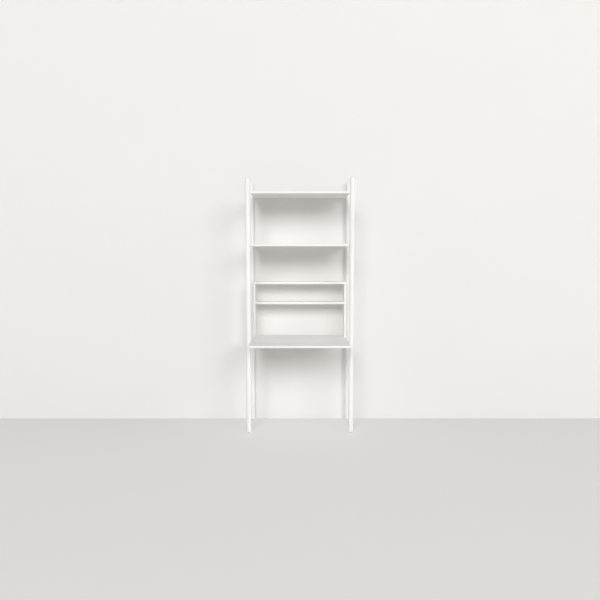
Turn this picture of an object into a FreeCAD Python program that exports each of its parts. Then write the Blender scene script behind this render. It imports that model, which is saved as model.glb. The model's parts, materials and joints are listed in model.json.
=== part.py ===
import FreeCAD, Part
import os
import re
import Sketcher

# A white desk with shelves: four round posts carry two shelves and a desktop between them, and a
# shallow hutch stands on the rear of the desktop. The front faces -Y and the rear posts touch the wall.
# The origin is on the floor, at the middle of the overall width and depth.

# Driving sizes in millimetres
sizes = {
    # Posts and their spacing
    "postDiameter": 40,
    "postSpacing": 360,
    "postRise": 110,
    "postTopRound": 12,
    "postFootRound": 7,
    "boardLength": 786,
    "shadowGap": 2,
    # Shelves and desktop
    "shelfThickness": 18,
    "boardMargin": 14,
    "shelfEdgeRound": 2.5,
    "desktopThickness": 18,
    "desktopHeight": 750,
    "desktopReach": 220,
    "desktopCornerRound": 8,
    "desktopEdgeRound": 3,
    # Clear heights between the boards, from the desktop up
    "lowerBay": 282,
    "upperBay": 152,
    "displayBay": 297,
    "topBay": 397,
    # Hutch
    "hutchThickness": 18,
    "hutchDepth": 144,
    "hutchEdgeRound": 1.5,
    # Bolted joint of a post and a board
    "boltDiameter": 6,
    "boltHeadDiameter": 12,
    "boltHeadHeight": 3.5,
    "socketWidth": 4,
    "socketDepth": 2,
    "boltTip": 2,
    "postBoreClearance": 0.6,
    "boardBoreClearance": 1,
    "headClearance": 0.6,
    "capThickness": 3,
    "capDome": 0.6,
    "capFlatDiameter": 6,
    "capClearance": 0.2,
    "spacerDiameter": 15.8,
    "spacerClearance": 0.2,
    "seatShoulder": 0.8,
    "nutDiameter": 10,
    "nutInset": 34,
    "nutCover": 2,
    "nutClearance": 0.2,
    "threadClearance": 0.1,
    # Foot glides
    "glideDiameter": 24,
    "glideHeight": 4,
    "glideEdge": 1.5,
    "nailDiameter": 3.5,
    "nailLength": 16,
    "nailClearance": 0.2,
    # Dowels and cam fittings of the hutch
    "dowelDiameter": 8,
    "dowelInEnd": 18,
    "dowelCover": 6,
    "dowelInset": 25,
    "dowelChamfer": 1,
    "dowelClearance": 0.2,
    "camDiameter": 15,
    "camInset": 34,
    "camCover": 5,
    "camClearance": 0.2,
    "camSlotWidth": 1.6,
    "camSlotLength": 9,
    "camSlotDepth": 2,
    "camBoltDiameter": 6,
    "camThreadCover": 7,
    "camNeckDiameter": 4,
    "camNeckLength": 6,
    "camHeadLength": 3,
    "camBoreClearance": 1,
    # Wall brackets
    "bracketInset": 93,
    "bracketWidth": 50,
    "bracketDepth": 42,
    "bracketHeight": 38,
    "bracketThickness": 2,
    "bracketCorner": 5,
    "bracketHolePitch": 30,
    "shelfHoleSetback": 26,
    "wallHoleHeight": 24,
    "wallHoleDiameter": 5.5,
    "screwDiameter": 4,
    "screwHeadDiameter": 8,
    "screwHeadHeight": 2.5,
    "screwRimHeight": 1.2,
    "screwFlatDiameter": 4,
    "screwCover": 4,
    "screwClearance": 0.3,
    "pilotClearance": 0.1,
}

# Sizes that follow from the driving ones
formulas = {
    "postRadius": "postDiameter / 2",
    "postAxisX": "boardLength / 2 + shadowGap + postRadius",
    "postMiddleY": "(desktopReach - postRadius) / 2",
    "wallY": "postMiddleY + postSpacing / 2 + postRadius",
    "boardRearY": "postSpacing / 2 + boardMargin",
    "desktopBase": "desktopHeight - desktopThickness",
    "hutchHeight": "lowerBay + upperBay + 2 * hutchThickness",
    "secondShelfBase": "desktopHeight + hutchHeight + displayBay",
    "topShelfBase": "secondShelfBase + shelfThickness + topBay",
    "postTop": "topShelfBase + shelfThickness + postRise",
    "hutchMiddleY": "postMiddleY + boardRearY - hutchDepth / 2",
    "sideHeight": "lowerBay + upperBay + hutchThickness",
    "middleLength": "boardLength - 2 * hutchThickness",
    "sideMiddleX": "(boardLength - hutchThickness) / 2",
    "dowelY": "hutchDepth / 2 - dowelInset",
    "dowelInFace": "hutchThickness - dowelCover",
    "camDepth": "hutchThickness - camCover",
    "camThread": "hutchThickness - camThreadCover",
    "camBoltReach": "camInset + camHeadLength / 2",
    "camBore": "camBoltDiameter + camBoreClearance",
    "headBore": "boltHeadDiameter + headClearance",
    "capDiameter": "headBore - capClearance",
    "capSagitta": "postRadius - sqrt(postRadius ^ 2 - capDiameter ^ 2 / 4)",
    "headRecess": "boltHeadHeight + capThickness + capSagitta",
    "seatBore": "spacerDiameter + spacerClearance",
    "seatDepth": "postRadius - sqrt(postRadius ^ 2 - seatBore ^ 2 / 4) + seatShoulder",
    "boltEnd": "boardLength / 2 - nutInset - nutDiameter / 2 - boltTip",
    "headFloor": "postAxisX + postRadius - headRecess",
    "bracketX": "boardLength / 2 - bracketInset",
}

# The largest fillet, as a share of the half thickness that it rounds
fillet_limit = 0.9
full_turn = 360
half_turn = 180

doc = FreeCAD.newDocument("DeskWithShelves")
sheet = doc.addObject("Spreadsheet::Sheet", "Sizes")
for row, (alias, size) in enumerate(sizes.items(), start=1):
    sheet.set(f"A{row}", alias)
    sheet.set(f"B{row}", str(size))
    sheet.setAlias(f"B{row}", alias)
doc.recompute()


def spelled(formula):
    """Write a formula of size names as an expression on the sheet."""
    def word(match):
        name = match.group()
        if name in formulas:
            return f"({spelled(formulas[name])})"
        return f"Sizes.{name}" if name in sizes else name
    return re.sub(r"[A-Za-z]+", word, formula)


def bind(item, **targets):
    for target, formula in targets.items():
        item.setExpression(target, spelled(formula))


def place(item, x="0", y="0", z="0", prefix="Placement"):
    for axis, formula in zip("xyz", (x, y, z)):
        item.setExpression(f"{prefix}.Base.{axis}", spelled(formula))


def new_body(label, x="0", y="0", z="0", turn=0):
    body = doc.addObject("PartDesign::Body", label)
    body.Label = label
    body.Placement.Rotation = FreeCAD.Rotation(FreeCAD.Vector(0, 0, 1), turn)
    place(body, x, y, z)
    return body


def origin_feature(body, role):
    return next(feature for feature in body.Origin.OriginFeatures if feature.Role == role)


def new_sketch(body, name, plane, x="0", y="0", z="0"):
    """Sketch on an origin plane of the body, shifted by x and y in the plane and z along its normal."""
    sketch = body.newObject("Sketcher::SketchObject", name)
    sketch.AttachmentSupport = [(origin_feature(body, plane), "")]
    sketch.MapMode = "FlatFace"
    place(sketch, x, y, z, "AttachmentOffset")
    return sketch


def constrain(sketch, name, formula, *definition):
    index = sketch.addConstraint(Sketcher.Constraint(*definition))
    sketch.renameConstraint(index, name)
    sketch.setExpression(f"Constraints.{name}", spelled(formula))


def pin_point(sketch, geometry, vertex, name, x, y):
    """Fix a point of the sketch at x, y from the sketch's origin."""
    for kind, axis, formula in (("DistanceX", -2, x), ("DistanceY", -1, y)):
        if formula == "0":
            sketch.addConstraint(Sketcher.Constraint("PointOnObject", geometry, vertex, axis))
        else:
            constrain(sketch, f"{name}{kind[-1]}", formula, kind, -1, 1, geometry, vertex, 1.0)


def draw_polygon(sketch, corners):
    """Draw straight lines between any corners, then let constraints take the corners to their places."""
    count = len(corners)
    guess = [FreeCAD.Vector(index, index * index, 0) for index in range(count)]
    for index in range(count):
        sketch.addGeometry(Part.LineSegment(guess[index], guess[(index + 1) % count]), False)
    for index in range(count):
        sketch.addConstraint(Sketcher.Constraint("Coincident", index, 2, (index + 1) % count, 1))
    for index, (x, y) in enumerate(corners):
        pin_point(sketch, index, 1, f"corner{index}", x, y)


def draw_circles(sketch, diameter, centres):
    for index, (x, y) in enumerate(centres):
        guess = Part.Circle(FreeCAD.Vector(index, 1, 0), FreeCAD.Vector(0, 0, 1), 1)
        geometry = sketch.addGeometry(guess, False)
        pin_point(sketch, geometry, 3, f"centre{index}", x, y)
        constrain(sketch, f"diameter{index}", diameter, "Diameter", geometry, 1.0)


def pad(body, name, sketch, length):
    feature = body.newObject("PartDesign::Pad", name)
    feature.Profile = sketch
    bind(feature, Length=length)
    return feature


def pocket(body, name, sketch, depth, along_normal=False):
    """Cut from the sketch against its plane's normal, or along it."""
    feature = body.newObject("PartDesign::Pocket", name)
    feature.Profile = sketch
    feature.Reversed = along_normal
    bind(feature, Length=depth)
    return feature


def drill(body, name, plane, diameter, centres, depth, start="0", along_normal=False):
    sketch = new_sketch(body, f"{name}_sketch", plane, z=start)
    draw_circles(sketch, diameter, centres)
    return pocket(body, name, sketch, depth, along_normal)


def round_edges(body, name, radius, half_thickness, wanted):
    """Fillet the edges of the body's tip that the test picks out, as far as the wall allows."""
    doc.recompute()
    base = body.Tip
    names = [f"Edge{number}" for number, edge in enumerate(base.Shape.Edges, start=1) if wanted(edge)]
    feature = body.newObject("PartDesign::Fillet", name)
    feature.Base = (base, names)
    bind(feature, Radius=f"min({radius}; {fillet_limit} * {half_thickness})")
    return feature


def runs_along(edge, axis):
    box = edge.BoundBox
    lengths = {"X": box.XLength, "Y": box.YLength, "Z": box.ZLength}
    return lengths.pop(axis) > max(lengths.values())


def is_level(edge):
    return not runs_along(edge, "Z")


def mirror_left(body, name, features=None):
    """Repeat features, or the whole body, on the other side of the body's YZ plane."""
    doc.recompute()
    mirrored = body.newObject("PartDesign::Mirrored", name)
    mirrored.MirrorPlane = (origin_feature(body, "YZ_Plane"), [""])
    if features:
        mirrored.Originals = features
    else:
        mirrored.TransformMode = "Whole shape"
    body.Tip = mirrored


def repeat_along(body, name, axis, length):
    """Repeat the whole body once more, at a distance along one of its axes."""
    doc.recompute()
    pattern = body.newObject("PartDesign::LinearPattern", name)
    pattern.TransformMode = "Whole shape"
    pattern.Direction = (origin_feature(body, axis), [""])
    bind(pattern, Length=length)
    pattern.Occurrences = 2
    body.Tip = pattern


def turn_along_x(body, name, corners, x, y, z):
    """Revolve corners (distance along X, radius) about an axis through x, y, z."""
    sketch = new_sketch(body, f"{name}_sketch", "XY_Plane", x, y, z)
    draw_polygon(sketch, corners)
    return revolve(body, name, sketch, "H_Axis")


def turn_along_z(body, name, corners, x="0", y="0", z="0"):
    """Revolve corners (radius, height) about an upright axis through x, y, z."""
    sketch = new_sketch(body, f"{name}_sketch", "XZ_Plane", x, z, f"-({y})")
    draw_polygon(sketch, corners)
    return revolve(body, name, sketch, "V_Axis")


def revolve(body, name, sketch, axis):
    feature = body.newObject("PartDesign::Revolution", name)
    feature.Profile = sketch
    feature.ReferenceAxis = (sketch, [axis])
    feature.Angle = full_turn
    return feature


# Posts, all four alike: the outer side is the post's own +X, and the left posts are turned half round.
# Each has three bolt holes with a recess for the bolt head outside and a flat seat for the spacer inside.
board_levels = {
    "top_shelf": ("topShelfBase", "shelfThickness"),
    "second_shelf": ("secondShelfBase", "shelfThickness"),
    "desktop": ("desktopBase", "desktopThickness"),
}


def make_post(label, x, y, turn):
    body = new_body(label, x, y, "glideHeight", turn)
    section = new_sketch(body, f"{label}_section", "XY_Plane")
    draw_circles(section, "postDiameter", [("0", "0")])
    shaft = pad(body, f"{label}_shaft", section, "postTop - glideHeight")
    doc.recompute()
    middle = shaft.Shape.BoundBox.Center.z
    round_edges(body, f"{label}_top_round", "postTopRound", "postRadius",
                lambda edge: is_level(edge) and edge.BoundBox.ZMin > middle)
    round_edges(body, f"{label}_foot_round", "postFootRound", "postRadius",
                lambda edge: is_level(edge) and edge.BoundBox.ZMax < middle)
    centres = [("0", f"{base} + {thickness} / 2 - glideHeight") for base, thickness in board_levels.values()]
    drill(body, f"{label}_bolt_bores", "YZ_Plane", "boltDiameter + postBoreClearance", centres,
          "postDiameter", "postRadius")
    drill(body, f"{label}_head_recesses", "YZ_Plane", "headBore", centres,
          "headRecess", "postRadius - headRecess", along_normal=True)
    drill(body, f"{label}_spacer_seats", "YZ_Plane", "seatBore", centres,
          "seatDepth", "seatDepth - postRadius")
    drill(body, f"{label}_nail_bore", "XY_Plane", "nailDiameter + nailClearance", [("0", "0")],
          "nailLength + nailClearance", along_normal=True)
    return body


def make_glide(label, x, y):
    body = new_body(label, x, y)
    turn_along_z(body, f"{label}_turning", [
        ("0", "0"),
        ("glideDiameter / 2 - glideEdge", "0"),
        ("glideDiameter / 2", "glideEdge"),
        ("glideDiameter / 2", "glideHeight"),
        ("nailDiameter / 2", "glideHeight"),
        ("nailDiameter / 2", "glideHeight + nailLength - nailDiameter / 2"),
        ("0", "glideHeight + nailLength"),
    ])
    return body


# Boards between the posts: their frame is at the middle of the post spacing, on the underside.
def make_board(label, base, thickness, front, edge_round, corner_round=None):
    body = new_body(label, y="postMiddleY", z=base)
    outline = new_sketch(body, f"{label}_outline", "XY_Plane")
    draw_polygon(outline, [
        ("-boardLength / 2", front),
        ("boardLength / 2", front),
        ("boardLength / 2", "boardRearY"),
        ("-boardLength / 2", "boardRearY"),
    ])
    slab = pad(body, f"{label}_slab", outline, thickness)
    if corner_round:
        doc.recompute()
        middle = slab.Shape.BoundBox.Center.y
        round_edges(body, f"{label}_corners", corner_round, "boardLength / 2",
                    lambda edge: runs_along(edge, "Z") and edge.BoundBox.YMax < middle)
    round_edges(body, f"{label}_edges", edge_round, f"{thickness} / 2", is_level)
    bores = drill(body, f"{label}_bolt_bores", "YZ_Plane", "boltDiameter + boardBoreClearance",
                  [("-postSpacing / 2", f"{thickness} / 2"), ("postSpacing / 2", f"{thickness} / 2")],
                  "boardLength / 2 - boltEnd + boltTip", "boardLength / 2")
    nuts = drill(body, f"{label}_nut_bores", "XY_Plane", "nutDiameter + nutClearance",
                 [("boardLength / 2 - nutInset", "-postSpacing / 2"),
                  ("boardLength / 2 - nutInset", "postSpacing / 2")],
                 f"{thickness} - nutCover", along_normal=True)
    return body, [bores, nuts]


def make_top_shelf():
    body, bores = make_board("top_shelf", *board_levels["top_shelf"], "-boardRearY", "shelfEdgeRound")
    pilots = drill(body, "top_shelf_pilot_bores", "XY_Plane", "screwDiameter + pilotClearance",
                   [(f"bracketX {side} bracketHolePitch / 2", "wallY - postMiddleY - shelfHoleSetback")
                    for side in "-+"],
                   "shelfThickness - screwCover", "shelfThickness")
    mirror_left(body, "top_shelf_left_bores", bores + [pilots])
    return body


def make_second_shelf():
    body, bores = make_board("second_shelf", *board_levels["second_shelf"], "-boardRearY", "shelfEdgeRound")
    mirror_left(body, "second_shelf_left_bores", bores)
    return body


def make_desktop():
    body, bores = make_board("desktop", *board_levels["desktop"], "-(postSpacing / 2 + desktopReach)",
                             "desktopEdgeRound", "desktopCornerRound")
    hutch_y = "boardRearY - hutchDepth / 2"
    dowels = drill(body, "desktop_dowel_bores", "XY_Plane", "dowelDiameter + dowelClearance",
                   [("sideMiddleX", f"{hutch_y} {side} dowelY") for side in "-+"],
                   "desktopThickness - dowelCover + dowelClearance", "desktopThickness")
    mirror_left(body, "desktop_left_bores", bores + [dowels])
    return body


# Bolted joints, a node of four for each board: made at the right front post, then repeated
def joint_body(label, base, thickness):
    return new_body(label, y="postMiddleY", z=f"{base} + {thickness} / 2")


def repeat_four(body):
    label = body.Label
    repeat_along(body, f"{label}_rear", "Y_Axis", "postSpacing")
    mirror_left(body, f"{label}_left")
    return body


def make_bolts(label, base, thickness):
    body = joint_body(label, base, thickness)
    turn_along_x(body, f"{label}_turning", [
        ("0", "0"),
        ("0", "boltDiameter / 2"),
        ("headFloor - boltEnd", "boltDiameter / 2"),
        ("headFloor - boltEnd", "boltHeadDiameter / 2"),
        ("headFloor - boltEnd + boltHeadHeight", "boltHeadDiameter / 2"),
        ("headFloor - boltEnd + boltHeadHeight", "0"),
    ], "boltEnd", "-postSpacing / 2", "0")
    socket = body.newObject("PartDesign::SubtractivePrism", f"{label}_socket")
    socket.Polygon = 6
    socket.AttachmentSupport = [(origin_feature(body, "YZ_Plane"), "")]
    socket.MapMode = "FlatFace"
    bind(socket, Circumradius="socketWidth / sqrt(3)", Height="socketDepth")
    place(socket, "-postSpacing / 2", "0", "headFloor + boltHeadHeight - socketDepth", "AttachmentOffset")
    return repeat_four(body)


def make_caps(label, base, thickness):
    body = joint_body(label, base, thickness)
    turn_along_x(body, f"{label}_turning", [
        ("0", "0"),
        ("0", "capDiameter / 2"),
        ("capThickness", "capDiameter / 2"),
        ("capThickness + capDome", "capFlatDiameter / 2"),
        ("capThickness + capDome", "0"),
    ], "headFloor + boltHeadHeight", "-postSpacing / 2", "0")
    return repeat_four(body)


def make_spacers(label, base, thickness):
    body = joint_body(label, base, thickness)
    bore = "(boltDiameter + postBoreClearance) / 2"
    turn_along_x(body, f"{label}_turning", [
        ("0", bore),
        ("0", "spacerDiameter / 2"),
        ("shadowGap + seatDepth", "spacerDiameter / 2"),
        ("shadowGap + seatDepth", bore),
    ], "boardLength / 2", "-postSpacing / 2", "0")
    return repeat_four(body)


def make_barrel_nuts(label, base, thickness):
    body = joint_body(label, base, thickness)
    section = new_sketch(body, f"{label}_section", "XY_Plane", z=f"nutCover - {thickness} / 2")
    draw_circles(section, "nutDiameter", [("boardLength / 2 - nutInset", "-postSpacing / 2")])
    pad(body, f"{label}_barrel", section, f"{thickness} - 2 * nutCover")
    drill(body, f"{label}_thread", "YZ_Plane", "boltDiameter + threadClearance", [("-postSpacing / 2", "0")],
          "nutDiameter", "boardLength / 2 - nutInset + nutDiameter / 2")
    return repeat_four(body)


# Hutch: two sides stand on the desktop, the top lies on them and the middle shelf is between them.
# A side's inner face is its own -X; it is alike front and rear, so the left one is turned half round.
dowel_pair = ("-dowelY", "dowelY")


def make_hutch_side(label, x, turn):
    body = new_body(label, x, "hutchMiddleY", "desktopHeight", turn)
    outline = new_sketch(body, f"{label}_outline", "XY_Plane")
    draw_polygon(outline, [
        ("-hutchThickness / 2", "-hutchDepth / 2"),
        ("hutchThickness / 2", "-hutchDepth / 2"),
        ("hutchThickness / 2", "hutchDepth / 2"),
        ("-hutchThickness / 2", "hutchDepth / 2"),
    ])
    pad(body, f"{label}_panel", outline, "sideHeight")
    round_edges(body, f"{label}_edges", "hutchEdgeRound", "hutchThickness / 2",
                lambda edge: runs_along(edge, "Z"))
    ends = [("0", y) for y in dowel_pair]
    bore = "dowelDiameter + dowelClearance"
    end_depth = "dowelInEnd + dowelClearance"
    drill(body, f"{label}_base_dowel_bores", "XY_Plane", bore, ends, end_depth, along_normal=True)
    drill(body, f"{label}_top_dowel_bores", "XY_Plane", bore, ends, end_depth, "sideHeight")
    drill(body, f"{label}_cam_bolt_bore", "XY_Plane", "camBore", [("0", "0")],
          "camBoltReach + camClearance", "sideHeight")
    inner_face = "-hutchThickness / 2"
    shelf_level = "lowerBay + hutchThickness / 2"
    drill(body, f"{label}_cam_bore", "YZ_Plane", "camDiameter + camClearance",
          [("0", "sideHeight - camInset")], "camDepth", inner_face, along_normal=True)
    drill(body, f"{label}_shelf_dowel_bores", "YZ_Plane", bore, [(y, shelf_level) for y in dowel_pair],
          "dowelInFace + dowelClearance", inner_face, along_normal=True)
    drill(body, f"{label}_shelf_cam_thread", "YZ_Plane", "camBoltDiameter + threadClearance",
          [("0", shelf_level)], "camThread + camClearance", inner_face, along_normal=True)
    return body


def make_hutch_board(label, length, z):
    body = new_body(label, y="hutchMiddleY", z=z)
    outline = new_sketch(body, f"{label}_outline", "XY_Plane")
    draw_polygon(outline, [
        (f"-{length} / 2", "-hutchDepth / 2"),
        (f"{length} / 2", "-hutchDepth / 2"),
        (f"{length} / 2", "hutchDepth / 2"),
        (f"-{length} / 2", "hutchDepth / 2"),
    ])
    pad(body, f"{label}_slab", outline, "hutchThickness")
    return body


def make_hutch_top():
    body = make_hutch_board("hutch_top", "boardLength", "desktopHeight + sideHeight")
    round_edges(body, "hutch_top_edges", "hutchEdgeRound", "hutchThickness / 2", is_level)
    dowels = drill(body, "hutch_top_dowel_bores", "XY_Plane", "dowelDiameter + dowelClearance",
                   [("sideMiddleX", y) for y in dowel_pair], "dowelInFace + dowelClearance",
                   along_normal=True)
    thread = drill(body, "hutch_top_cam_thread", "XY_Plane", "camBoltDiameter + threadClearance",
                   [("sideMiddleX", "0")], "camThread + camClearance", along_normal=True)
    mirror_left(body, "hutch_top_left_bores", [dowels, thread])
    return body


def make_hutch_middle_shelf():
    body = make_hutch_board("hutch_middle_shelf", "middleLength", "desktopHeight + lowerBay")
    round_edges(body, "hutch_middle_shelf_edges", "hutchEdgeRound", "hutchThickness / 2",
                lambda edge: runs_along(edge, "X"))
    end_face = "middleLength / 2"
    level = "hutchThickness / 2"
    dowels = drill(body, "hutch_middle_shelf_dowel_bores", "YZ_Plane", "dowelDiameter + dowelClearance",
                   [(y, level) for y in dowel_pair], "dowelInEnd + dowelClearance", end_face)
    bolt = drill(body, "hutch_middle_shelf_cam_bolt_bore", "YZ_Plane", "camBore",
                 [("0", level)], "camBoltReach + camClearance", end_face)
    cam = drill(body, "hutch_middle_shelf_cam_bore", "XY_Plane", "camDiameter + camClearance",
                [(f"{end_face} - camInset", "0")], "camDepth", along_normal=True)
    mirror_left(body, "hutch_middle_shelf_left_bores", [dowels, bolt, cam])
    return body


def dowel_profile(length):
    """Half outline of a dowel as (distance along it, radius)."""
    return [
        ("0", "0"),
        ("0", "dowelDiameter / 2 - dowelChamfer"),
        ("dowelChamfer", "dowelDiameter / 2"),
        (f"{length} - dowelChamfer", "dowelDiameter / 2"),
        (length, "dowelDiameter / 2 - dowelChamfer"),
        (length, "0"),
    ]


def make_upright_dowels(label, length, bottom):
    body = new_body(label, y="hutchMiddleY", z=bottom)
    outline = [(radius, along) for along, radius in dowel_profile(length)]
    turn_along_z(body, f"{label}_turning", outline, "sideMiddleX", "-dowelY")
    repeat_along(body, f"{label}_rear", "Y_Axis", "2 * dowelY")
    mirror_left(body, f"{label}_left")
    return body


def make_shelf_dowels():
    label = "hutch_shelf_dowels"
    body = new_body(label, y="hutchMiddleY", z="desktopHeight + lowerBay + hutchThickness / 2")
    turn_along_x(body, f"{label}_turning", dowel_profile("(dowelInEnd + dowelInFace)"),
                 "middleLength / 2 - dowelInEnd", "-dowelY", "0")
    repeat_along(body, f"{label}_rear", "Y_Axis", "2 * dowelY")
    mirror_left(body, f"{label}_left")
    return body


def cam_bolt_profile():
    """Half outline of a cam bolt as (distance from its head's tip, radius)."""
    neck_start = "camHeadLength"
    neck_end = "camHeadLength + camNeckLength"
    tip = "camBoltReach + camThread"
    return [
        ("0", "0"),
        ("0", "camBoltDiameter / 2"),
        (neck_start, "camBoltDiameter / 2"),
        (neck_start, "camNeckDiameter / 2"),
        (neck_end, "camNeckDiameter / 2"),
        (neck_end, "camBoltDiameter / 2"),
        (tip, "camBoltDiameter / 2"),
        (tip, "0"),
    ]


def make_top_cam_bolts():
    label = "hutch_top_cam_bolts"
    body = new_body(label, y="hutchMiddleY", z="desktopHeight + sideHeight - camBoltReach")
    turn_along_z(body, f"{label}_turning", [(radius, along) for along, radius in cam_bolt_profile()],
                 "sideMiddleX")
    mirror_left(body, f"{label}_left")
    return body


def make_shelf_cam_bolts():
    label = "hutch_shelf_cam_bolts"
    body = new_body(label, y="hutchMiddleY", z="desktopHeight + lowerBay + hutchThickness / 2")
    turn_along_x(body, f"{label}_turning", cam_bolt_profile(), "middleLength / 2 - camBoltReach", "0", "0")
    mirror_left(body, f"{label}_left")
    return body


def cut_cam_slots(body, plane, x, y, face, along_normal):
    """Cut the crossed driver slots into the face of a cam lock."""
    for number, (width, length) in enumerate((("camSlotWidth", "camSlotLength"),
                                              ("camSlotLength", "camSlotWidth")), start=1):
        slot = new_sketch(body, f"{body.Label}_slot_sketch{number}", plane, x, y, face)
        draw_polygon(slot, [(f"{a}{width} / 2", f"{b}{length} / 2")
                            for a, b in (("-", "-"), ("", "-"), ("", ""), ("-", ""))])
        pocket(body, f"{body.Label}_slot{number}", slot, "camSlotDepth", along_normal)


def make_top_cam_locks():
    label = "hutch_top_cam_locks"
    body = new_body(label, y="hutchMiddleY", z="desktopHeight + sideHeight - camInset")
    inner_face = "boardLength / 2 - hutchThickness"
    section = new_sketch(body, f"{label}_section", "YZ_Plane", z=inner_face)
    draw_circles(section, "camDiameter", [("0", "0")])
    pad(body, f"{label}_drum", section, "camDepth")
    drill(body, f"{label}_mouth", "XY_Plane", "camBore", [("sideMiddleX", "0")],
          "camDiameter / 2 + camHeadLength / 2 + camClearance", "camDiameter / 2")
    cut_cam_slots(body, "YZ_Plane", "0", "0", inner_face, True)
    mirror_left(body, f"{label}_left")
    return body


def make_shelf_cam_locks():
    label = "hutch_shelf_cam_locks"
    body = new_body(label, y="hutchMiddleY", z="desktopHeight + lowerBay")
    middle = "middleLength / 2 - camInset"
    section = new_sketch(body, f"{label}_section", "XY_Plane")
    draw_circles(section, "camDiameter", [(middle, "0")])
    pad(body, f"{label}_drum", section, "camDepth")
    drill(body, f"{label}_mouth", "YZ_Plane", "camBore", [("0", "hutchThickness / 2")],
          "camDiameter / 2 + camHeadLength / 2 + camClearance", f"{middle} + camDiameter / 2")
    cut_cam_slots(body, "XY_Plane", middle, "0", "0", True)
    mirror_left(body, f"{label}_left")
    return body


# Wall brackets: bent steel angles on the rear of the top shelf, their upright legs in the wall's plane
def make_bracket(label, x):
    body = new_body(label, x, "wallY", "topShelfBase + shelfThickness")
    angle = new_sketch(body, f"{label}_angle", "YZ_Plane", z="-bracketWidth / 2")
    draw_polygon(angle, [
        ("-bracketDepth", "0"),
        ("0", "0"),
        ("0", "bracketHeight"),
        ("-bracketThickness", "bracketHeight"),
        ("-bracketThickness", "bracketThickness"),
        ("-bracketDepth", "bracketThickness"),
    ])
    strip = pad(body, f"{label}_strip", angle, "bracketWidth")
    doc.recompute()
    middle = strip.Shape.BoundBox.Center

    def is_leg_corner(edge):
        on_shelf_leg = runs_along(edge, "Z") and edge.BoundBox.YMax < middle.y
        on_wall_leg = runs_along(edge, "Y") and edge.BoundBox.ZMin > middle.z
        return on_shelf_leg or on_wall_leg

    round_edges(body, f"{label}_corners", "bracketCorner", "bracketWidth / 2", is_leg_corner)
    pitch = [f"{side}bracketHolePitch / 2" for side in ("-", "")]
    drill(body, f"{label}_shelf_holes", "XY_Plane", "screwDiameter + screwClearance",
          [(across, "-shelfHoleSetback") for across in pitch], "bracketThickness", along_normal=True)
    drill(body, f"{label}_wall_holes", "XZ_Plane", "wallHoleDiameter",
          [(across, "wallHoleHeight") for across in pitch], "bracketThickness", along_normal=True)
    return body


def make_bracket_screws():
    label = "bracket_screws"
    body = new_body(label, y="wallY", z="topShelfBase + screwCover")
    shank = "shelfThickness - screwCover + bracketThickness"
    turn_along_z(body, f"{label}_turning", [
        ("0", "0"),
        ("screwDiameter / 2", "screwDiameter / 2"),
        ("screwDiameter / 2", shank),
        ("screwHeadDiameter / 2", shank),
        ("screwHeadDiameter / 2", f"{shank} + screwRimHeight"),
        ("screwFlatDiameter / 2", f"{shank} + screwHeadHeight"),
        ("0", f"{shank} + screwHeadHeight"),
    ], "bracketX - bracketHolePitch / 2", "-shelfHoleSetback")
    repeat_along(body, f"{label}_pitch", "X_Axis", "bracketHolePitch")
    mirror_left(body, f"{label}_left")
    return body


# Assembly
parts = []
post_places = {
    "front_left": ("-postAxisX", "postMiddleY - postSpacing / 2", half_turn),
    "front_right": ("postAxisX", "postMiddleY - postSpacing / 2", 0),
    "rear_left": ("-postAxisX", "postMiddleY + postSpacing / 2", half_turn),
    "rear_right": ("postAxisX", "postMiddleY + postSpacing / 2", 0),
}
for corner, (x, y, turn) in post_places.items():
    parts.append(make_post(f"{corner}_post", x, y, turn))
    parts.append(make_glide(f"{corner}_glide", x, y))

parts += [make_top_shelf(), make_second_shelf(), make_desktop()]
for board, (base, thickness) in board_levels.items():
    parts.append(make_bolts(f"{board}_bolts", base, thickness))
    parts.append(make_barrel_nuts(f"{board}_barrel_nuts", base, thickness))
    parts.append(make_spacers(f"{board}_spacers", base, thickness))
    parts.append(make_caps(f"{board}_bolt_caps", base, thickness))

parts += [
    make_hutch_side("hutch_left_side", "-sideMiddleX", half_turn),
    make_hutch_side("hutch_right_side", "sideMiddleX", 0),
    make_hutch_top(),
    make_hutch_middle_shelf(),
    make_upright_dowels("hutch_base_dowels", "(desktopThickness - dowelCover + dowelInEnd)",
                        "desktopBase + dowelCover"),
    make_upright_dowels("hutch_top_dowels", "(dowelInEnd + dowelInFace)",
                        "desktopHeight + sideHeight - dowelInEnd"),
    make_shelf_dowels(),
    make_top_cam_bolts(),
    make_top_cam_locks(),
    make_shelf_cam_bolts(),
    make_shelf_cam_locks(),
    make_bracket("left_wall_bracket", "-bracketX"),
    make_bracket("right_wall_bracket", "bracketX"),
    make_bracket_screws(),
]
doc.recompute()

# Every object has to be sound before any file is written
for item in doc.Objects:
    if {"Invalid", "Error"} & set(item.State):
        raise RuntimeError(f"{item.Name} failed: {item.State}")
for part in parts:
    if part.Shape.isNull() or not part.Shape.isValid() or not part.Shape.Solids:
        raise RuntimeError(f"{part.Label} has no sound solid")

os.makedirs("parts", exist_ok=True)
for part in parts:
    part.Shape.exportStep(f"parts/{part.Label}.step")
    box = part.Shape.BoundBox
    print(f"{part.Label}: {len(part.Shape.Solids)} solids, {part.Shape.Volume / 1000:.2f} cm3, "
          f"x {box.XMin:.1f} to {box.XMax:.1f}, y {box.YMin:.1f} to {box.YMax:.1f}, "
          f"z {box.ZMin:.1f} to {box.ZMax:.1f}")
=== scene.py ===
import json
import math

import bmesh
import bpy
from mathutils import Matrix, Vector


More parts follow.
